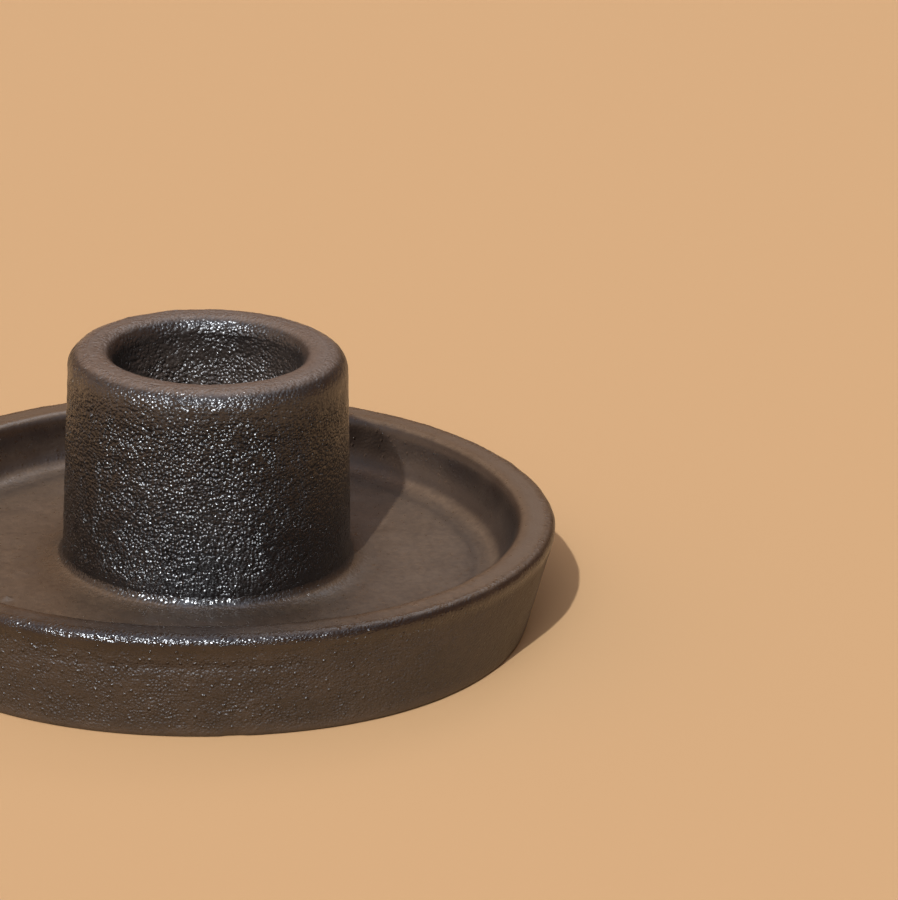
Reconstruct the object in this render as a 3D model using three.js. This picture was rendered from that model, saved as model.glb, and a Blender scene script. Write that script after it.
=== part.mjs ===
// A ceramic holder for one dinner candle: a flared dish, a socket that stands in its middle,
// and the smoothed coil of clay that closes the corner between the two.
// Millimetres and degrees. The dish stands on z = 0 and everything is round about the Z axis.

import * as THREE from "three";

// The dish
const dishRadius = 45.2; // to the widest point of the lip
const dishHeight = 14.3;
const rimThickness = 4.9;
const rimFlare = 14.4; // how far the rim leans outwards
const rimOuterRound = 1.2;
const rimInnerRound = 1.8;
const floorHeight = 7.3; // the floor's upper face, above what the dish stands on
const floorFillet = 2.4; // between the floor and the rim
const footRingWidth = 5.2;
const footRecess = 1.8; // how deep the underside is hollowed inside the foot ring
const footRound = 0.6;

// The socket
const socketRadius = 18.5; // outside, at the level of the dish's floor
const socketStand = 28.5; // how far it stands above the floor
const socketDraft = 1.65; // how far its outer wall leans inwards
const lipOuterRound = 2.5;
const lipInnerRound = 2.25;
const candleDiameter = 22.2;
const candleClearance = 0.4; // on the diameter, where the candle stands
const mouthWidening = 1.5; // the mouth's extra diameter over the foot of the bore
const socketFootRound = 0.4;

// The joint between them
const seatDepth = 1; // how deep the socket's foot stands in the floor
const slipGap = 0.3; // layer of slip between the pieces
const coilHeight = 2.4;
const coilReach = 3.2; // how far the coil spreads over the floor
const coilEdge = 0.35; // its blunt edges

// How finely round shapes are divided
const turnSteps = 72;
const arcStep = 15;

const glazedClay = { roughness: 0.5, metalness: 0 };
const dishColour = "#2c2622";
const socketColour = "#29231f";
const coilColour = "#2e2824";

const seatHeight = floorHeight - seatDepth;
const socketHeight = socketStand + seatDepth;
const socketFootRadius = socketRadius + seatDepth * slope(socketDraft);
const seatRadius = socketFootRadius + slipGap;

// How far a wall moves sideways for each millimetre of height.
function slope(lean) {
  return Math.tan(THREE.MathUtils.degToRad(lean));
}

// A corner of an outline: radius from the axis, height, and the radius of its rounding.
function corner(radius, height, round = 0) {
  return { point: new THREE.Vector2(radius, height), round };
}

// The arc that rounds a corner and touches both of its sides. It is made smaller where a side is
// too short, so that it takes at most half of each side.
function roundedCorner(before, { point, round }, after) {
  if (round === 0) return [point];
  const back = before.point.clone().sub(point);
  const ahead = after.point.clone().sub(point);
  const shortest = Math.min(back.length(), ahead.length());
  const halfAngle = Math.acos(back.dot(ahead) / (back.length() * ahead.length())) / 2;
  const reach = Math.min(round / Math.tan(halfAngle), shortest / 2);
  const radius = reach * Math.tan(halfAngle);
  back.normalize();
  ahead.normalize();
  const toCentre = back.clone().add(ahead).normalize();
  const centre = point.clone().addScaledVector(toCentre, radius / Math.sin(halfAngle));
  const start = point.clone().addScaledVector(back, reach).sub(centre);
  const turn = (Math.PI - 2 * halfAngle) * Math.sign(back.cross(ahead));
  const steps = Math.ceil(THREE.MathUtils.radToDeg(Math.abs(turn)) / arcStep);
  return Array.from({ length: steps + 1 }, (_, i) =>
    start.clone().rotateAround(new THREE.Vector2(), (-turn * i) / steps).add(centre),
  );
}

// An outline that starts and ends on the axis, with its corners rounded.
function openOutline(corners) {
  const inner = corners.slice(1, -1);
  const rounded = inner.flatMap((c, i) => roundedCorner(corners[i], c, corners[i + 2]));
  return [corners[0].point, ...rounded, corners.at(-1).point];
}

// An outline that closes on itself away from the axis, with its corners rounded.
function closedOutline(corners) {
  const count = corners.length;
  const rounded = corners.flatMap((c, i) =>
    roundedCorner(corners[(i + count - 1) % count], c, corners[(i + 1) % count]),
  );
  return [...rounded, rounded[0].clone()];
}

// A solid of revolution about Z. The outline runs anticlockwise, seen with the axis on its left.
function turned(name, outline, colour) {
  const geometry = new THREE.LatheGeometry(outline, turnSteps).rotateX(Math.PI / 2);
  const material = new THREE.MeshStandardMaterial({ color: colour, ...glazedClay });
  const mesh = new THREE.Mesh(geometry, material);
  mesh.name = name;
  return mesh;
}

// The dish: foot ring, flared rim with a rounded lip, floor, and the shallow seat for the socket.
function makeSaucer() {
  const lean = THREE.MathUtils.degToRad(rimFlare);
  const lipCorner =
    dishRadius - rimOuterRound + (rimOuterRound * (1 + Math.sin(lean))) / Math.cos(lean);
  const outside = (height) => lipCorner - (dishHeight - height) * slope(rimFlare);
  const inside = (height) => outside(height) - rimThickness / Math.cos(lean);
  const ringInside = outside(0) - footRingWidth;
  return turned(
    "saucer",
    openOutline([
      corner(0, footRecess),
      corner(ringInside - footRecess, footRecess, footRecess),
      corner(ringInside, 0, footRound),
      corner(outside(0), 0, footRound),
      corner(outside(dishHeight), dishHeight, rimOuterRound),
      corner(inside(dishHeight), dishHeight, rimInnerRound),
      corner(inside(floorHeight), floorHeight, floorFillet),
      corner(seatRadius, floorHeight),
      corner(seatRadius, seatHeight),
      corner(candleDiameter / 2, seatHeight), // the face that the candle stands on ends here
      corner(0, seatHeight),
    ]),
    dishColour,
  );
}

// The socket: a thick tube, open at both ends, whose bore narrows down to the candle's own size.
function makeSocket() {
  const topRadius = socketFootRadius - socketHeight * slope(socketDraft);
  const boreRadius = (candleDiameter + candleClearance) / 2;
  const mouthRadius = boreRadius + mouthWidening / 2;
  const socket = turned(
    "candle_socket",
    closedOutline([
      corner(boreRadius, 0, socketFootRound),
      corner(socketFootRadius, 0, socketFootRound),
      corner(topRadius, socketHeight, lipOuterRound),
      corner(mouthRadius, socketHeight, lipInnerRound),
    ]),
    socketColour,
  );
  socket.position.z = seatHeight;
  return socket;
}

// The coil: a ring whose hollow face sweeps up from the floor to the socket, as a curve that is
// level at its foot and upright at its top.
function makeCoil() {
  const outerRadius = seatRadius + coilReach;
  const foot = new THREE.Vector2(outerRadius, coilEdge);
  const bend = new THREE.Vector2(seatRadius + coilEdge, coilEdge);
  const top = new THREE.Vector2(seatRadius + coilEdge, coilHeight);
  const sweep = new THREE.QuadraticBezierCurve(foot, bend, top);
  const hollow = sweep.getPoints(Math.ceil(90 / arcStep)).map(({ x, y }) => corner(x, y));
  const coil = turned(
    "socket_joint_coil",
    closedOutline([
      corner(seatRadius, 0),
      corner(outerRadius, 0),
      ...hollow,
      corner(seatRadius, coilHeight),
    ]),
    coilColour,
  );
  coil.position.z = floorHeight;
  return coil;
}

const candleHolder = new THREE.Group();
candleHolder.name = "candle_holder";
candleHolder.add(makeSaucer(), makeSocket(), makeCoil());

export default candleHolder;
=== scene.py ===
import math

import bpy
import numpy as np
from mathutils import Matrix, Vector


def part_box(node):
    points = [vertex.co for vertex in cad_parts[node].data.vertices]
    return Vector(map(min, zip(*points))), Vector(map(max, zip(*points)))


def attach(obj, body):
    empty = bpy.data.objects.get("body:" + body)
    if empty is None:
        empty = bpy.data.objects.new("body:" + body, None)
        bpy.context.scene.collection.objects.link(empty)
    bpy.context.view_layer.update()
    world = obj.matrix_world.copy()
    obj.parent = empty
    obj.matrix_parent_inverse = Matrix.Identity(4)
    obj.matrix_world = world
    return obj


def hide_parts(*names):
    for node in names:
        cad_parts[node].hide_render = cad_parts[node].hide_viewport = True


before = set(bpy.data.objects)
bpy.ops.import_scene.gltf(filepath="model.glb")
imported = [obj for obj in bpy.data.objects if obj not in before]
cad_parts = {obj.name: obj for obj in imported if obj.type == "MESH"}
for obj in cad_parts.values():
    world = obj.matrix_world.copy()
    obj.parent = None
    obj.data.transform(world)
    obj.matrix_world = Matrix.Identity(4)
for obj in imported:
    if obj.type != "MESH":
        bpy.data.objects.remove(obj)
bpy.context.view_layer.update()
print("frame loaded:", ", ".join(sorted(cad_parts)))

# Outlines and grain are worked out in millimetres; the meshes are in metres.
mm = 0.001
arcStep = 3  # degrees between the points of a rounded corner
finePoints = 20000  # along an outline, while its rows are spread out
shortestStep = 1e-6  # points of an outline that lie closer than this are one


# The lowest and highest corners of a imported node, in millimetres.
def boxOf(node):
    low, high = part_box(node)
    return np.array(low) / mm, np.array(high) / mm


saucerHigh = boxOf("saucer")[1]
socketLow, socketHigh = boxOf("candle_socket")
coilLow, coilHigh = boxOf("socket_joint_coil")
floorHeight = coilLow[2]  # the joint lies on the floor of the dish
seatHeight = socketLow[2]  # the socket stands in a shallow seat


# The glaze that all three pieces share. Bearings are degrees anticlockwise from +X, seen from above.
glaze = {
    "seed": 11,
    "waveLengths": (0.75, 1.35),  # shortest and longest wave, as a share of the length asked for
    "pebble": 1.1,  # distance from one pebble to the next
    "pebbleHeight": 0.026,
    "pebbleWaves": 90,
    "lump": 5,  # slow swellings under the pebbles
    "lumpHeight": 0.02,
    "lumpWaves": 40,
    "proud": 0.15,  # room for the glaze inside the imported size
    "bare": 0.8,  # the glaze is wiped off below this height, so that the foot stands level
    "smoothSide": (-15, 45),  # bearing and width of the side that is smoothest and dullest
    "smooth": 0.5,  # share of the grain that is lost there
    "duller": 0.4,  # and dullness that is added
    "dustAndTopLight": (0.68, 0.98),  # heights of the normal between which the glaze gets lighter: partly dust and wear, partly painted light on faces that point up
    "bareTone": 0.1,  # share of that lighter tone that is left on the walls, where the normal doesn't point up
    "noiseRange": (0.3, 0.7),  # what noise mostly lies between
    "chanceRange": (0.1, 0.9),  # and a cell's random number
    "moundSteepness": (0.75, 1.15),  # share of the steepness that the mounds have, at random
    "fineMound": 0.5,  # size of the fine mounds, as a share of the coarse ones'
    "fineSteepness": 0.35,
    "unevenRange": (0.35, 0.65),  # noise in the flattest and in the roughest patches
    "unevenGrain": (0.5, 1.15),  # and the share of the grain there
    "speckSize": 0.4,  # radius of a speck, as a share of the gap between them
    "speckChance": (0.45, 0.5),  # only cells past this have one
    "speckGloss": 0.7,  # dullness that it takes away
}


# A bell curve: e to the minus square of the distance over the width. It is 1 at the centre.
def bell(away, width):
    return np.exp(-(away / width) ** 2)


# 0 below low, 1 above high, and between them a smooth S: three squares less two cubes of t.
def ramp(value, low, high):
    t = np.clip((value - low) / (high - low), 0, 1)
    return t * t * (3 - 2 * t)


# A bell curve round a bearing, of the angle from it the short way round, in degrees.
def sideBell(angle, bearing, width):
    return bell((np.degrees(angle) - bearing + 180) % 360 - 180, width)


# Many waves of about one length, in all directions, added up: each is a cosine of the distance
# along its own direction. The sum swells and dips at random, with a mean of 0 and a spread of 1,
# and runs on from piece to piece where they meet.
def swell(points, length, seed, count):
    draw = np.random.default_rng(seed)
    directions = draw.normal(size=(count, 3))
    directions /= np.linalg.norm(directions, axis=1)[:, None]
    lengths = length * draw.uniform(*glaze["waveLengths"], count)
    phases = draw.uniform(0, 2 * math.pi, count)
    total = np.zeros(len(points))
    for direction, one, phase in zip(directions, lengths, phases):
        total += np.cos(points @ (direction * 2 * math.pi / one) + phase)
    return total / math.sqrt(count / 2)


# Thickness of the glaze: pebbles, times the outline's own grain, on slow lumps. Both fade out
# towards the foot as a smooth S.
def glazeThickness(points, grain):
    pebbles = swell(points, glaze["pebble"], glaze["seed"], glaze["pebbleWaves"])
    lumps = swell(points, glaze["lump"], glaze["seed"] + 1, glaze["lumpWaves"])
    thickness = grain * pebbles * glaze["pebbleHeight"] + lumps * glaze["lumpHeight"]
    return thickness * ramp(points[:, 2], 0, glaze["bare"])


# A mark in the glaze: highest along the line from start to end, and falling off with the
# distance from that line as a bell curve. Start and end are (radius, bearing, height).
def mark(points, start, end, width, height):
    start, end = (np.array([radius * math.cos(math.radians(bearing)),
                            radius * math.sin(math.radians(bearing)), level])
                  for radius, bearing, level in (start, end))
    along = end - start
    t = np.clip((points - start) @ along / (along @ along), 0, 1)
    away = np.linalg.norm(points - start - t[:, None] * along, axis=1)
    return height * bell(away, width)


# A corner rounded by the arc that touches both of its sides: its centre lies on the bisector, at
# the rounding divided by the sine of half the angle. The finish stays the corner's own.
def roundedCorner(before, corner, after):
    point, rounding, finish = corner[:2], corner[2], corner[3:]
    if rounding == 0:
        return np.r_[point, finish][None]
    back, ahead = before[:2] - point, after[:2] - point
    back, ahead = back / np.linalg.norm(back), ahead / np.linalg.norm(ahead)
    half = math.acos(back @ ahead) / 2
    toCentre = (back + ahead) / np.linalg.norm(back + ahead)
    centre = point + toCentre * rounding / math.sin(half)
    start = point + back * rounding / math.tan(half) - centre
    turn = -math.copysign(math.pi - 2 * half, back[0] * ahead[1] - back[1] * ahead[0])
    angles = np.linspace(0, turn, max(2, math.ceil(abs(math.degrees(turn)) / arcStep)))
    cosine, sine = np.cos(angles), np.sin(angles)
    radius = centre[0] + start[0] * cosine - start[1] * sine
    height = centre[1] + start[0] * sine + start[1] * cosine
    return np.column_stack([radius, height, np.tile(finish, (len(angles), 1))])


# The outline with its corners rounded. Corners are (radius, height, rounding, spacing, grain,
# tone, dullness), anticlockwise, with the axis on the left; a row keeps all but the rounding.
def outlineOf(corners, closed):
    corners = np.array(corners, float)
    if closed:
        padded = np.vstack([corners[-1:], corners, corners[:1]])
        arcs = [roundedCorner(*padded[i:i + 3]) for i in range(len(corners))]
        return np.vstack(arcs + [arcs[0][:1]])
    arcs = [roundedCorner(*corners[i:i + 3]) for i in range(len(corners) - 2)]
    ends = np.delete(corners[[0, -1]], 2, axis=1)
    return np.vstack([ends[:1], *arcs, ends[1:]])


# The outline's rows spread out again: the steps along it add up 1 / spacing, so that rows lie
# close together where the surface shows and far apart where it doesn't.
def spread(outline):
    lengths = np.linalg.norm(np.diff(outline[:, :2], axis=0), axis=1)
    outline = outline[np.r_[True, lengths > shortestStep]]
    along = np.r_[0, np.cumsum(lengths[lengths > shortestStep])]
    fine = np.linspace(0, along[-1], finePoints)
    spacing = np.interp(fine, along, outline[:, 2])
    steps = np.r_[0, np.cumsum(np.diff(fine) / spacing[1:])]
    places = np.interp(np.linspace(0, steps[-1], round(steps[-1]) + 1), steps, fine)
    return np.column_stack([np.interp(places, along, column) for column in outline.T])


# The rows that become rings, and the outline's direction at each, from the row before it to the
# row after. A closed outline leaves out the row that repeats its first, an open one both poles.
def ringsOf(outline, closed):
    rows = spread(outline)
    if closed:
        rows = rows[:-1]
        along = np.roll(rows[:, :2], -1, axis=0) - np.roll(rows[:, :2], 1, axis=0)
    else:
        along = np.gradient(rows[:, :2], axis=0)[1:-1]
        rows = rows[1:-1]
    return rows, along / np.linalg.norm(along, axis=1)[:, None]


# Grain, tone and dullness at each point of the rings. The smooth side has less grain and is
# duller, each by a bell curve. The tone is lightest where the normal points up, partly for dust
# and wear and partly as painted light from above, and falls to a small share of that as a
# smooth S of the normal's height.
def finishOf(rows, upward, radius, angle, height, tone):
    grain, lightness, dullness = (column[:, None] * np.ones_like(angle) for column in rows[:, 3:].T)
    side = sideBell(angle, *glaze["smoothSide"])
    dustAndTopLightShare = ramp(upward, *glaze["dustAndTopLight"])[:, None]
    grain *= 1 - glaze["smooth"] * side
    lightness *= tone(radius, angle, height)
    lightness *= glaze["bareTone"] + (1 - glaze["bareTone"]) * dustAndTopLightShare
    dullness += glaze["duller"] * side
    return np.column_stack([grain.ravel(), lightness.ravel(), dullness.ravel()])


# Four-sided faces between neighbouring rings. A closed outline joins its last ring to its first,
# and an open one closes each pole with a fan round one of the two points that follow the rings.
def ringFaces(count, columns, closed):
    ring = np.arange(count * columns).reshape(count, columns)
    below, above = (ring, np.roll(ring, -1, axis=0)) if closed else (ring[:-1], ring[1:])
    faces = np.stack([below, np.roll(below, -1, axis=1), np.roll(above, -1, axis=1), above],
                     axis=-1).reshape(-1, 4).tolist()
    if not closed:
        start, end = ring[0], ring[-1]
        first, last = ring.size, ring.size + 1
        faces += [[first, b, a] for a, b in zip(start.tolist(), np.roll(start, -1).tolist())]
        faces += [[last, a, b] for a, b in zip(end.tolist(), np.roll(end, -1).tolist())]
    return faces


# The outline turned about the Z axis: ring i stands at the radius and height of row i, and each
# point then moves out along the outline's normal by the thickness there. The finish goes into
# three attributes of the mesh.
def turnedMesh(name, outline, columns, closed, shape, thickness, tone, material):
    rows, along = ringsOf(outline, closed)
    turn = np.arange(columns) * 2 * math.pi / columns
    radius, angle = np.meshgrid(rows[:, 0], turn, indexing="ij")
    height = np.repeat(rows[:, 1:2], columns, axis=1)
    finish = finishOf(rows, -along[:, 0], radius, angle, height, tone)
    radius, height = shape(radius, height, angle)
    points = np.stack([radius * np.cos(angle), radius * np.sin(angle), height], axis=-1)
    normal = np.stack([along[:, 1:2] * np.cos(angle), along[:, 1:2] * np.sin(angle),
                       -along[:, 0:1] * np.ones_like(angle)], axis=-1)
    points, normal = points.reshape(-1, 3), normal.reshape(-1, 3)
    points = points + normal * thickness(points, finish[:, 0])[:, None]
    if not closed:
        points = np.vstack([points, [[0, 0, outline[0, 1]], [0, 0, outline[-1, 1]]]])
        finish = np.vstack([finish, rows[[0, -1], 3:]])
    faces = ringFaces(len(rows), columns, closed)
    mesh = bpy.data.meshes.new(name)
    mesh.from_pydata(points * mm, [], faces)
    mesh.polygons.foreach_set("use_smooth", np.ones(len(mesh.polygons), bool))
    for kind, values in zip(("grain", "tone", "dullness"), finish.T):
        mesh.attributes.new(kind, "FLOAT", "POINT").data.foreach_set("value", values)
    mesh.materials.append(material)
    mesh.update()
    piece = bpy.data.objects.new(name, mesh)
    bpy.context.scene.collection.objects.link(piece)
    print(name, "has", sum(len(face) - 2 for face in faces), "triangles")
    return piece


# A procedural glaze, whose grain, tone and dullness lie on the mesh. Clouds and a fine mottle shift
# the colour between a dark and a light tone, and patches shift the roughness. Bump adds what is
# finer than the mesh: mounds in two sizes, flatter in some patches than in others, with streaks
# left by turning and sparse glossy specks over them.
def glazeMaterial(name, settings):
    material = bpy.data.materials.new(name)
    material.use_nodes = True
    nodes, links = material.node_tree.nodes, material.node_tree.links
    shader = nodes["Principled BSDF"]
    shader.inputs["Metallic"].default_value = 0
    shader.inputs["IOR"].default_value = settings["ior"]
    place = nodes.new("ShaderNodeTexCoord").outputs["Object"]

    # One of the three finishes that the mesh carries.
    def onMesh(kind):
        attribute = nodes.new("ShaderNodeAttribute")
        attribute.attribute_name = kind
        return attribute.outputs["Fac"]

    # Noise with features of about a size, whose heights are divided by flatten.
    def noise(size, detail, flatten=1):
        stretch = nodes.new("ShaderNodeVectorMath")
        stretch.operation = "MULTIPLY"
        stretch.inputs[1].default_value = (1, 1, flatten)
        links.new(place, stretch.inputs[0])
        texture = nodes.new("ShaderNodeTexNoise")
        texture.inputs["Scale"].default_value = 1 / (size * mm)
        texture.inputs["Detail"].default_value = detail
        links.new(stretch.outputs["Vector"], texture.inputs["Vector"])
        return texture.outputs["Fac"]

    # Cells of a size: the distance from each one's centre, and its own random number.
    def cells(size):
        texture = nodes.new("ShaderNodeTexVoronoi")
        texture.inputs["Scale"].default_value = 1 / (size * mm)
        links.new(place, texture.inputs["Vector"])
        return texture.outputs["Distance"], texture.outputs["Color"]

    # The value moved from one range to another, and held at the ends of the second.
    def between(value, fromLow, fromHigh, low, high, curve="LINEAR"):
        span = nodes.new("ShaderNodeMapRange")
        span.interpolation_type = curve
        for socketName, number in (("From Min", fromLow), ("From Max", fromHigh),
                                   ("To Min", low), ("To Max", high)):
            span.inputs[socketName].default_value = number
        links.new(value, span.inputs["Value"])
        return span.outputs["Result"]

    # Two values, or a value and a number, added, subtracted or multiplied.
    def combine(operation, first, second):
        step = nodes.new("ShaderNodeMath")
        step.operation = operation
        for slot, value in enumerate((first, second)):
            if isinstance(value, (int, float)):
                step.inputs[slot].default_value = value
            else:
                links.new(value, step.inputs[slot])
        return step.outputs["Value"]

    # Noise from an amount below a middle to as much above it.
    def shift(size, middle, amount, detail):
        return between(noise(size, detail), *glaze["noiseRange"], middle - amount, middle + amount)

    # Mounds whose height falls in proportion to the distance from each cell's centre, by a
    # steepness of its own.
    def mounds(size, steepness):
        flattest, steepest = glaze["moundSteepness"]
        away, chance = cells(size)
        fall = between(chance, *glaze["chanceRange"],
                       -flattest * steepness * size, -steepest * steepness * size)
        return combine("MULTIPLY", away, fall)

    tone = nodes.new("ShaderNodeMix")
    tone.data_type = "RGBA"
    tone.inputs["A"].default_value = (*settings["dark"], 1)
    tone.inputs["B"].default_value = (*settings["light"], 1)
    cloud = shift(settings["cloud"], 0, settings["cloudy"], detail=4)
    mottle = shift(settings["mottle"], 1, settings["mottled"], detail=3)
    share = combine("MULTIPLY", combine("ADD", onMesh("tone"), cloud), mottle)
    links.new(share, tone.inputs["Factor"])
    links.new(tone.outputs["Result"], shader.inputs["Base Color"])

    away, chance = cells(settings["speckGap"])
    speck = combine("MULTIPLY", between(away, 0, glaze["speckSize"], 1, 0, "SMOOTHSTEP"),
                    between(chance, *glaze["speckChance"], 0, 1))
    dullness = combine("SUBTRACT", onMesh("dullness"),
                       combine("MULTIPLY", speck, glaze["speckGloss"]))
    roughness = between(dullness, 0, 1, *settings["roughness"])
    patch = shift(settings["patch"], 0, settings["patchy"], detail=3)
    links.new(combine("ADD", roughness, patch), shader.inputs["Roughness"])

    coarse = mounds(settings["mound"], settings["steepness"])
    fine = mounds(settings["mound"] * glaze["fineMound"],
                  settings["steepness"] * glaze["fineSteepness"])
    uneven = between(noise(settings["uneven"], detail=2), *glaze["unevenRange"],
                     *glaze["unevenGrain"])
    grain = combine("MULTIPLY", combine("ADD", coarse, fine), uneven)
    streaks = combine("MULTIPLY", noise(settings["streak"], detail=2, flatten=5),
                      settings["streakDepth"])
    specks = combine("MULTIPLY", speck, settings["speckHeight"])
    height = combine("ADD", grain, combine("ADD", streaks, specks))
    bump = nodes.new("ShaderNodeBump")
    bump.inputs["Strength"].default_value = 1
    bump.inputs["Distance"].default_value = mm
    links.new(combine("MULTIPLY", height, onMesh("grain")), bump.inputs["Height"])
    links.new(bump.outputs["Normal"], shader.inputs["Normal"])
    return material


saucer = {
    "columns": 620,
    "flare": 14.4,  # degrees that the rim leans outwards
    "rimThickness": 4.9,
    "rimOuterRound": 1.15,
    "rimInnerRound": 1.6,
    "floorFillet": 4.2,
    "footRingWidth": 5.2,
    "footRecess": 1.8,
    "footRound": 0.6,
    "seatGap": 0.3,  # between the seat and the socket
    "rimRadius": 40,  # the floor lies inside this, and the rim outside it
    # The dish isn't quite round: it stands out by the amount, at the bearing, over the width.
    "outOfRound": ((1.16, -135, 31), (-0.27, -83, 20), (-0.22, 24, 22)),
    "roundWithin": 26,  # the middle of the floor is round
    "tilt": 0.26,  # nor quite level: this is how much higher the rim is at its highest bearing
    "highAt": -110,
    "tiltHeights": (8, 14),  # heights between which that sets in
    # Rings left by turning on the floor: rise, radius and width.
    "rings": ((0.06, 35.9, 1.1), (-0.04, 37.4, 0.6), (0.05, 31.5, 1.8)),
    "ringReach": 1,  # how far above the floor they fade out
    "dentDepth": 0.28,  # a long shallow dent below the lip
    "dentHeight": 10.2,
    "dentWidth": 0.6,
    "dentSide": (-94, 22),  # bearing and width, as for each side below
    "marks": (
        ((29.4, -148.5, 7.3), (29.4, -148.4, 7.3), 0.45, 0.55),  # a pimple on the floor
        ((44.3, -98.2, 9.3), (44.3, -98.3, 9.3), 0.25, 0.15),  # a speck on the wall
        ((41.8, -86.1, 0.2), (41.8, -83.9, 0.2), 0.5, -0.25),  # a nick in the foot
    ),
    "paintedFrontShade": 0.65,  # share of the tone that the front of the floor loses to painted shade
    "frontSide": (-80, 45),
    "paintedRingShade": 0.6,  # and the painted shade of a ring at the floor's edge
    "ringRadius": 35.8,
    "ringWidth": 1.9,
    "paintedLipShade": 0.85,  # and the painted shade on the front of the lip
    "lipSide": (-95, 38),
    "lipHeights": (11, 12.5),  # heights between which that sets in
    "rimBlend": 1.5,  # from the floor's tone to the rim's
    # Where the finish changes.
    "wallFrom": 2,  # height
    "wallTo": 3,  # depth below the top
    "lipDepth": 2,  # this too
    "lipFlat": (2, 3),  # distances inwards from the lip's outer corner
    "sweepReach": 3.6,  # distance inwards from the corner between rim and floor
    "floorFrom": 9,  # distance outwards from the joint
    "jointReach": 3.5,  # this too
    # Distance between rows, grain, tone and dullness, from the middle of the underside outwards,
    # up the wall, over the lip, and across the floor to the middle of the seat.
    "finish": {
        "underside": (3, 0.2, 4, 1),
        "recessEdge": (1.2, 0.2, 4, 1),
        "footInside": (0.7, 0, 5, 1),
        "footOutside": (0.45, 0.2, 3, 1),
        "wallFoot": (0.45, 0.9, 1.2, 0.8),
        "wallTop": (0.38, 0.9, 1.2, 0.8),
        "lipFoot": (0.28, 0.75, 1, 0.25),
        "outerLip": (0.2, 0.4, 0.8, 0),
        "flatOutside": (0.3, 0.15, 1.1, 0.5),
        "flatInside": (0.36, 0.1, 1.1, 0.6),
        "innerLip": (0.32, 0.08, 1, 0.2),
        # the rim's inner wall has a dark tone, which is painted shade
        "rimInside": (0.38, 0.06, 0.3, 0.3),
        # the sweep's light tone is painted light: the bright band at the foot of the rim
        "sweep": (0.38, 0.1, 1.6, 0.5),
        "sweepEdge": (0.42, 0.06, 0.9, 0.5),
        "floor": (0.48, 0.05, 0.8, 0.5),
        "nearJoint": (0.48, 0.07, 0.85, 0.5),
        "jointToe": (0.48, 0.07, 0.65, 0.4),
        "seatEdge": (0.8, 0, 0.4, 0.4),
        "seatFoot": (1, 0, 0.8, 0.5),
        "seat": (2, 0.2, 0.8, 0.5),
    },
    "material": {
        "dark": (0.009, 0.0048, 0.0036),
        "light": (0.126, 0.080, 0.048),
        "ior": 1.69,
        "cloud": 6,  # size of the clouds, and how far they shift the tone
        "cloudy": 0.07,
        "mottle": 0.7,  # as well for the mottle
        "mottled": 0.22,
        "patch": 6,  # and for the patches, which shift the roughness
        "patchy": 0.02,
        "roughness": (0.2, 0.55),  # where the dullness is 0, and where it is 1
        "mound": 0.38,  # size of the coarse mounds
        "steepness": 0.7,
        "uneven": 2.2,  # size of the flatter and rougher patches
        "streak": 1.1,
        "streakDepth": 0.09,
        "speckGap": 0.8,
        "speckHeight": 0.28,
    },
}


# The hand-made dish: fuller or flatter at some bearings, each a bell curve, and with a rim that
# rises towards its highest bearing as a cosine.
def saucerShape(radius, height, angle):
    fuller = sum(amount * sideBell(angle, bearing, width)
                 for amount, bearing, width in saucer["outOfRound"])
    rise = saucer["tilt"] * np.cos(angle - math.radians(saucer["highAt"]))
    return (radius + ramp(radius, saucer["roundWithin"], saucer["rimRadius"]) * fuller,
            height + ramp(height, *saucer["tiltHeights"]) * rise)


# The glaze on the dish: rings on the floor and a dent below the lip, which are bell curves, and
# small marks.
def saucerThickness(points, grain):
    radius = np.hypot(points[:, 0], points[:, 1])
    angle = np.arctan2(points[:, 1], points[:, 0])
    level = points[:, 2]
    onFloor = bell(level - floorHeight, saucer["ringReach"]) * (radius < saucer["rimRadius"])
    rings = onFloor * sum(rise * bell(radius - middle, width)
                          for rise, middle, width in saucer["rings"])
    dent = (-saucer["dentDepth"] * (radius > saucer["rimRadius"])
            * bell(level - saucer["dentHeight"], saucer["dentWidth"])
            * sideBell(angle, *saucer["dentSide"]))
    marks = sum(mark(points, *settings) for settings in saucer["marks"])
    return glazeThickness(points, grain) + rings + dent + marks


# Painted shade: the floor and the joint are darker at their front, by a bell curve.
def floorToneWithPaintedShade(radius, angle, height):
    return 1 - saucer["paintedFrontShade"] * sideBell(angle, *saucer["frontSide"])


# The dish has the floor's tone inside, with painted shade in a darker ring at the edge of the floor
# and on the front of the lip. Each is a bell curve.
def saucerTone(radius, angle, height):
    onRim = ramp(radius, saucer["rimRadius"] - saucer["rimBlend"], saucer["rimRadius"])
    ring = 1 - saucer["paintedRingShade"] * bell(radius - saucer["ringRadius"], saucer["ringWidth"])
    lip = (saucer["paintedLipShade"] * ramp(height, *saucer["lipHeights"])
           * sideBell(angle, *saucer["lipSide"]))
    return floorToneWithPaintedShade(radius, angle, height) * ring * (1 - onRim) + (1 - lip) * onRim


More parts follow.
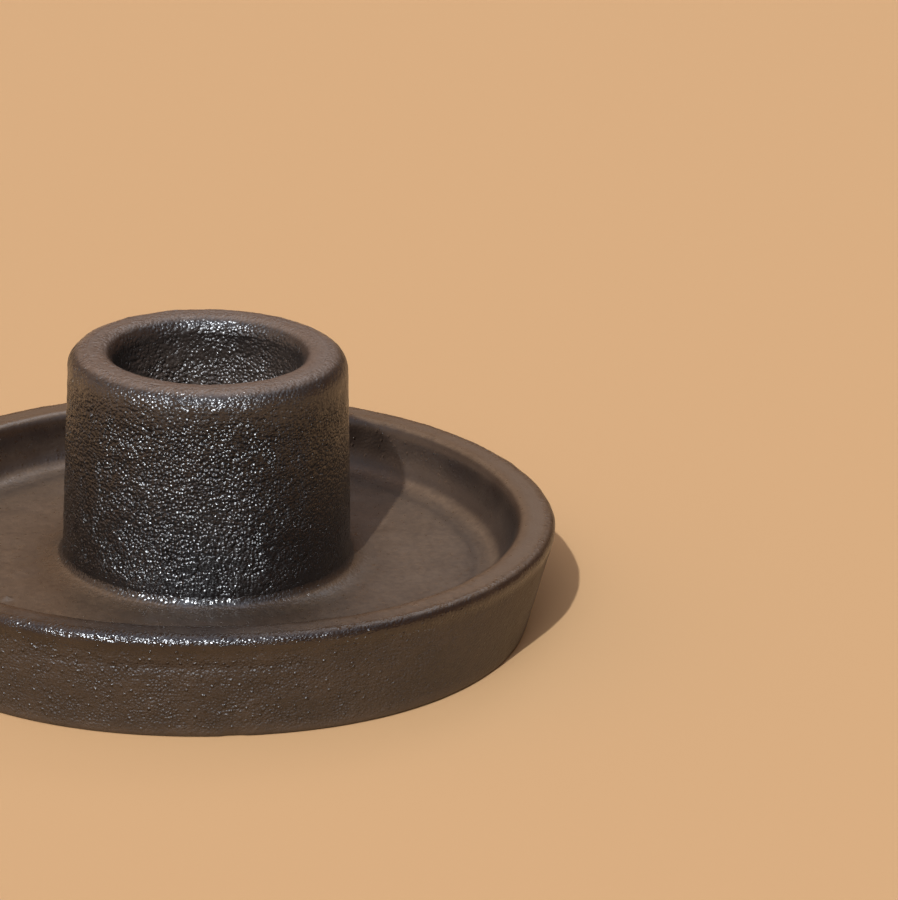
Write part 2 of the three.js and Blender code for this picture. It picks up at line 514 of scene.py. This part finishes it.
# Foot ring, flared rim with its rounded lip, floor and seat: an outline of straight lines and
# rounded corners, turned about the axis.
def makeSaucer():
    radius = saucerHigh[0] - glaze["proud"]
    top = saucerHigh[2] - glaze["proud"]
    lean = math.radians(saucer["flare"])
    outerRound = saucer["rimOuterRound"]
    lipCorner = radius - outerRound + outerRound * (1 + math.sin(lean)) / math.cos(lean)

    # The rim's outer radius: less than at the top by the depth times the tangent of the flare.
    def outside(height):
        return lipCorner - (top - height) * math.tan(lean)

    # Its inner radius: less by the thickness over the cosine of the flare.
    def inside(height):
        return outside(height) - saucer["rimThickness"] / math.cos(lean)

    ringInside = outside(0) - saucer["footRingWidth"]
    recess = saucer["footRecess"]
    wallFoot = saucer["wallFrom"]
    wallTop = top - saucer["wallTo"]
    lipFoot = top - saucer["lipDepth"]
    flatOutside, flatInside = (outside(top) - inwards for inwards in saucer["lipFlat"])
    sweepEdge = inside(floorHeight) - saucer["sweepReach"]
    seatRadius = socketHigh[0] + saucer["seatGap"]
    finish = saucer["finish"]
    corners = [
        (0, recess, 0, *finish["underside"]),
        (ringInside - recess, recess, recess, *finish["recessEdge"]),
        (ringInside, 0, saucer["footRound"], *finish["footInside"]),
        (outside(0), 0, saucer["footRound"], *finish["footOutside"]),
        (outside(wallFoot), wallFoot, 0, *finish["wallFoot"]),
        (outside(wallTop), wallTop, 0, *finish["wallTop"]),
        (outside(lipFoot), lipFoot, 0, *finish["lipFoot"]),
        (outside(top), top, outerRound, *finish["outerLip"]),
        (flatOutside, top, 0, *finish["flatOutside"]),
        (flatInside, top, 0, *finish["flatInside"]),
        (inside(top), top, saucer["rimInnerRound"], *finish["innerLip"]),
        (inside(lipFoot), lipFoot, 0, *finish["rimInside"]),
        (inside(floorHeight), floorHeight, saucer["floorFillet"], *finish["sweep"]),
        (sweepEdge, floorHeight, 0, *finish["sweepEdge"]),
        (coilHigh[0] + saucer["floorFrom"], floorHeight, 0, *finish["floor"]),
        (coilHigh[0] + saucer["jointReach"], floorHeight, 0, *finish["nearJoint"]),
        (coilHigh[0], floorHeight, 0, *finish["jointToe"]),
        (seatRadius, floorHeight, 0, *finish["seatEdge"]),
        (seatRadius, seatHeight, 0, *finish["seatFoot"]),
        (0, seatHeight, 0, *finish["seat"]),
    ]
    return turnedMesh("glazed_saucer", outlineOf(corners, False), saucer["columns"], False,
                      saucerShape, saucerThickness, saucerTone,
                      glazeMaterial("dish glaze", saucer["material"]))


socket = {
    "columns": 480,
    "draft": 1.65,  # degrees that the wall leans inwards
    "stouter": 0.12,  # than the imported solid
    "lipOuterRound": 2.5,
    "lipInnerRound": 2.25,
    "footRound": 0.4,
    "boreRadius": 11.3,
    "mouthRadius": 12.05,
    "aside": 0.12,  # how far to the right of the dish's middle it stands
    "lean": 0.08,  # how far its lip leans back to the left
    "leanHeight": 5,  # over this height below the top
    "oval": 0.055,  # the mouth isn't quite round
    "ovalTurn": 2,  # radians
    "marks": (  # two hairline scratches
        ((18.2, -127.5, 19.6), (18.2, -118.9, 19.8), 0.2, -0.15),
        ((18.2, -82.2, 20.0), (18.2, -71.6, 21.1), 0.2, -0.12),
    ),
    # Where the finish changes: heights above the floor, and depths below the top.
    "wallFoot": 1.8,
    "wallFrom": 5,
    "wallTo": 6,
    "boreAt": (9, 0.25),  # depth, and how much narrower than the mouth
    "deepBoreAt": (14, 0.35),
    # Distance between rows, grain, tone and dullness.
    "finish": {
        "foot": (0.9, 0.3, 0, 0),
        "wallFoot": (0.25, 0.5, 0, 0),
        "wall": (0.25, 1, 0, 0),
        "outerLip": (0.25, 0.5, 1, 0.15),
        "lip": (0.25, 0.2, 1, 0.8),
        "innerLip": (0.25, 0.4, 1, 0.2),
        # the bore's lighter tone is painted light, brightening the deep bore
        "bore": (0.3, 1.15, 3.5, 0.3),
        "deepBore": (0.7, 1.15, 3.5, 0.3),
    },
    "material": {
        "dark": (0.005, 0.004, 0.004),
        "light": (0.146, 0.104, 0.079),
        "ior": 1.72,
        "cloud": 12,
        "cloudy": 0.06,
        "mottle": 0.7,
        "mottled": 0.22,
        "patch": 5,
        "patchy": 0.04,
        "roughness": (0.22, 0.5),
        "mound": 0.44,
        "steepness": 0.93,
        "uneven": 2.5,
        "streak": 1.1,
        "streakDepth": 0,
        "speckGap": 1.2,
        "speckHeight": 0.06,
    },
}


# The socket stands a little to one side, leans back at its lip, and isn't quite round at its mouth:
# the offset's part along each bearing is its cosine, and the oval is a cosine of twice the bearing
# that grows upwards.
def socketShape(radius, height, angle):
    top = socketHigh[2]
    oval = socket["oval"] * ramp(height, seatHeight, top) * np.cos(2 * angle + socket["ovalTurn"])
    aside = socket["aside"] - socket["lean"] * ramp(height, top - socket["leanHeight"], top)
    return radius + aside * np.cos(angle) + oval, height


# The glaze on the socket, with its scratches.
def socketThickness(points, grain):
    scratches = sum(mark(points, *settings) for settings in socket["marks"])
    return glazeThickness(points, grain) + scratches


# The same tone all round.
def evenTone(radius, angle, height):
    return np.ones_like(radius)


# A thick tapered tube with a rounded lip, turned in the same way.
def makeSocket():
    top = socketHigh[2] - glaze["proud"]
    foot = socketHigh[0] + socket["stouter"]
    slope = math.tan(math.radians(socket["draft"]))
    mouth = socket["mouthRadius"]

    # The outer radius: less than at the foot by the height times the tangent of the draft.
    def outside(height):
        return foot - slope * (height - seatHeight)

    wallFoot = floorHeight + socket["wallFoot"]
    wallLow = floorHeight + socket["wallFrom"]
    wallHigh = top - socket["wallTo"]
    boreDepth, boreTaper = socket["boreAt"]
    deepBoreDepth, deepBoreTaper = socket["deepBoreAt"]
    finish = socket["finish"]
    corners = [
        (socket["boreRadius"], seatHeight, socket["footRound"], *finish["foot"]),
        (foot, seatHeight, socket["footRound"], *finish["foot"]),
        (outside(wallFoot), wallFoot, 0, *finish["wallFoot"]),
        (outside(wallLow), wallLow, 0, *finish["wall"]),
        (outside(wallHigh), wallHigh, 0, *finish["wall"]),
        (outside(top), top, socket["lipOuterRound"], *finish["outerLip"]),
        ((foot + mouth) / 2, top, 0, *finish["lip"]),
        (mouth, top, socket["lipInnerRound"], *finish["innerLip"]),
        (mouth - boreTaper, top - boreDepth, 0, *finish["bore"]),
        (mouth - deepBoreTaper, top - deepBoreDepth, 0, *finish["deepBore"]),
    ]
    return turnedMesh("glazed_socket", outlineOf(corners, True), socket["columns"], True,
                      socketShape, socketThickness, evenTone,
                      glazeMaterial("socket glaze", socket["material"]))


joint = {
    "columns": 480,
    "reach": 3.6,
    "height": 2.45,
    "sink": 0.15,  # how far its edges run on under the socket's face and the floor
    "buried": 1,  # how deep its hidden back lies in the socket and the floor
    "steps": 40,  # points along its face
    "spacing": 0.22,  # distance between rows
    "hiddenSpacing": 0.6,
    # The finish at shares of the way up its face.
    "grain": ((0, 0.4, 1), (0.07, 0.2, 0.5)),
    # its tone peaks partway up the face: painted light in the crease at the socket's foot
    "tone": ((0.4, 0.6, 0.8), (1, 3.5, 1)),
    "dullness": ((0, 0.5), (0.4, 0)),
    "material": {
        **socket["material"],
        "light": (0.085, 0.054, 0.0325),
        "roughness": (0.2, 0.55),
    },
}


# The smoothed coil: its face is the parabola that touches the socket's wall and the floor, and
# each of its edges runs on a little below the surface that it meets.
def makeJoint():
    slope = math.tan(math.radians(socket["draft"]))
    wall = socketHigh[0] - slope * (floorHeight + joint["height"] - seatHeight)
    sink, buried = joint["sink"], joint["buried"]
    shown, hidden = joint["spacing"], joint["hiddenSpacing"]
    t = np.linspace(0, 1, joint["steps"])
    radius = wall + joint["reach"] * (1 - t) ** 2 + slope * joint["height"] * (1 - t ** 2)
    height = floorHeight + joint["height"] * t ** 2
    face = np.column_stack([radius, height, np.full(len(t), shown),
                            *(np.interp(t, *joint[kind]) for kind in ("grain", "tone", "dullness"))])
    toeGrain, toeTone, toeDullness = face[0, 3:]
    topGrain = face[-1, 3]
    toe, back = radius[0] + buried, wall - buried
    topEdge, bottom = height[-1] + buried, floorHeight - buried
    edges = np.array([
        (wall - slope * buried - sink, topEdge, shown, topGrain, 0, 0),
        (back, topEdge, hidden, 0, 0, 0),
        (back, bottom, hidden, 0, 0, 0),
        (toe, bottom, hidden, 0, toeTone, toeDullness),
        (toe, floorHeight - sink, shown, toeGrain, toeTone, toeDullness),
    ])
    outline = np.vstack([face, edges, face[:1]])
    return turnedMesh("smoothed_joint", outline, joint["columns"], True, socketShape, glazeThickness,
                      floorToneWithPaintedShade, glazeMaterial("joint glaze", joint["material"]))


for piece, node, slot in (
    (makeSaucer(), "saucer", "dish_glaze"),
    (makeSocket(), "candle_socket", "socket_glaze"),
    (makeJoint(), "socket_joint_coil", "joint_glaze"),
):
    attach(piece, "root")
    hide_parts(node)
print("pieces made")


sunPlace = (17.4, 39.7)  # degrees to the left of the camera's side, and above the floor
studio = {
    "floorSize": 6,
    "floorColour": (0.57, 0.343, 0.167),
    "floorRoughness": 0.9,
    "floorSpecular": 0.2,
    "sunAngle": 1,
    "sunStrength": 3.2,
    "sunColour": (0.94, 1.0, 1.06),
    "sides": (0.12, 0.07, 0.045),
    "overhead": (0.14, 0.14, 0.16),
    "overheadMiddle": (0, -0.2, 0.98),
    "overheadRange": (0.55, 0.95),  # cosines of the angle from its middle where it starts and is full
    "patches": (  # azimuth and elevation as the sun's, width, colour
        (*sunPlace, 10, (6, 6.1, 6.4)),  # the sky close to the sun
        (*sunPlace, 24, (1.0, 1.05, 1.15)),  # and further from it
        (0, 80, 26, (0.65, 0.74, 0.95)),  # the top, towards the front
        (200, 50, 12, (1.4, 1.6, 1.8)),  # a small patch of sky behind
        (180, 10, 40, (0.1, 0.03, 0)),  # low behind
        (90, 15, 40, (0.75, 0.5, 0.36)),  # the left
        (-100, 5, 35, (0.12, 0.04, 0.01)),  # the right
    ),
}


# A plain pale floor, level with the foot of the dish.
def makeFloor():
    half = studio["floorSize"] / 2
    mesh = bpy.data.meshes.new("floor")
    mesh.from_pydata([(-half, -half, 0), (half, -half, 0), (half, half, 0), (-half, half, 0)],
                     [], [(0, 1, 2, 3)])
    material = bpy.data.materials.new("floor")
    material.use_nodes = True
    shader = material.node_tree.nodes["Principled BSDF"]
    shader.inputs["Base Color"].default_value = (*studio["floorColour"], 1)
    shader.inputs["Roughness"].default_value = studio["floorRoughness"]
    shader.inputs["Specular IOR Level"].default_value = studio["floorSpecular"]
    mesh.materials.append(material)
    floor = bpy.data.objects.new("floor", mesh)
    bpy.context.scene.collection.objects.link(floor)


# The direction at an azimuth, to the left of the camera's side, and an elevation.
def towards(azimuth, elevation):
    azimuth, elevation = math.radians(azimuth), math.radians(elevation)
    return (-math.sin(azimuth) * math.cos(elevation), -math.cos(azimuth) * math.cos(elevation),
            math.sin(elevation))


# Plain dim light from the room: warm at the sides and neutral overhead. On it lie soft patches,
# which fall off with the angle from their middle as a bell curve. The brightest are round the sun.
def makeWorld():
    world = bpy.data.worlds.new("studio")
    bpy.context.scene.world = world
    world.use_nodes = True
    nodes, links = world.node_tree.nodes, world.node_tree.links
    place = nodes.new("ShaderNodeTexCoord").outputs["Generated"]

    # Cosine of the angle from a direction.
    def along(direction):
        product = nodes.new("ShaderNodeVectorMath")
        product.operation = "DOT_PRODUCT"
        product.inputs[1].default_value = direction
        links.new(place, product.inputs[0])
        return product.outputs["Value"]

    low, high = studio["overheadRange"]
    share = nodes.new("ShaderNodeMapRange")
    share.inputs["From Min"].default_value = low
    share.inputs["From Max"].default_value = high
    links.new(along(studio["overheadMiddle"]), share.inputs["Value"])
    sky = nodes.new("ShaderNodeMix")
    sky.data_type = "RGBA"
    sky.inputs["A"].default_value = (*studio["sides"], 1)
    sky.inputs["B"].default_value = (*studio["overhead"], 1)
    links.new(share.outputs["Result"], sky.inputs["Factor"])
    light = sky.outputs["Result"]

    for azimuth, elevation, width, colour in studio["patches"]:
        value = along(towards(azimuth, elevation))
        for operation, number in (("ARCCOSINE", None), ("DIVIDE", math.radians(width)),
                                  ("POWER", 2), ("MULTIPLY", -1), ("EXPONENT", None)):
            step = nodes.new("ShaderNodeMath")
            step.operation = operation
            links.new(value, step.inputs[0])
            if number is not None:
                step.inputs[1].default_value = number
            value = step.outputs["Value"]
        patch = nodes.new("ShaderNodeVectorMath")
        patch.operation = "SCALE"
        patch.inputs[0].default_value = colour
        links.new(value, patch.inputs["Scale"])
        total = nodes.new("ShaderNodeVectorMath")
        total.operation = "ADD"
        links.new(light, total.inputs[0])
        links.new(patch.outputs["Vector"], total.inputs[1])
        light = total.outputs["Vector"]
    links.new(light, nodes["Background"].inputs["Color"])


# One soft sun from the front left.
def makeSun():
    azimuth, elevation = sunPlace
    light = bpy.data.lights.new("sun", "SUN")
    light.energy = studio["sunStrength"]
    light.angle = math.radians(studio["sunAngle"])
    light.color = studio["sunColour"]
    sun = bpy.data.objects.new("sun", light)
    bpy.context.scene.collection.objects.link(sun)
    sun.rotation_euler = (math.radians(90 - elevation), 0, -math.radians(azimuth))


camera = {
    "target": (0, 0, 0.015),
    "elevation": 20.794,
    "distance": 0.58648,
    "yaw": 3.049,  # turned right of the target
    "pitch": 0.659,
    "roll": 0.505,
    "lens": 181.94,
    "clip": (0.01, 50),
}


# The camera stands on the object's -Y side, looks at the target, and is then turned off it:
# forward is a sum of back, right and up, by the cosines and sines of yaw and pitch, and the roll
# turns side and top in the same way.
def makeCamera():
    elevation, yaw, pitch, roll = (math.radians(camera[key])
                                   for key in ("elevation", "yaw", "pitch", "roll"))
    back = np.array([0, -math.cos(elevation), math.sin(elevation)])
    place = np.array(camera["target"]) + camera["distance"] * back
    right = np.array([1.0, 0, 0])
    up = np.cross(right, -back)
    forward = (-back * math.cos(yaw) * math.cos(pitch) + right * math.sin(yaw) * math.cos(pitch)
               + up * math.sin(pitch))
    side = np.cross(forward, up)
    side /= np.linalg.norm(side)
    top = np.cross(side, forward)
    side, top = (side * math.cos(roll) + top * math.sin(roll),
                 top * math.cos(roll) - side * math.sin(roll))
    turn = np.eye(4)
    turn[:3, 0], turn[:3, 1], turn[:3, 2], turn[:3, 3] = side, top, -forward, place
    data = bpy.data.cameras.new("camera")
    data.lens = camera["lens"]
    data.clip_start, data.clip_end = camera["clip"]
    made = bpy.data.objects.new("camera", data)
    bpy.context.scene.collection.objects.link(made)
    made.matrix_world = Matrix(turn.tolist())
    bpy.context.scene.camera = made


makeFloor()
makeWorld()
makeSun()
makeCamera()
bpy.context.scene.view_settings.view_transform = "Standard"
print("studio made")

bpy.context.view_layer.update()
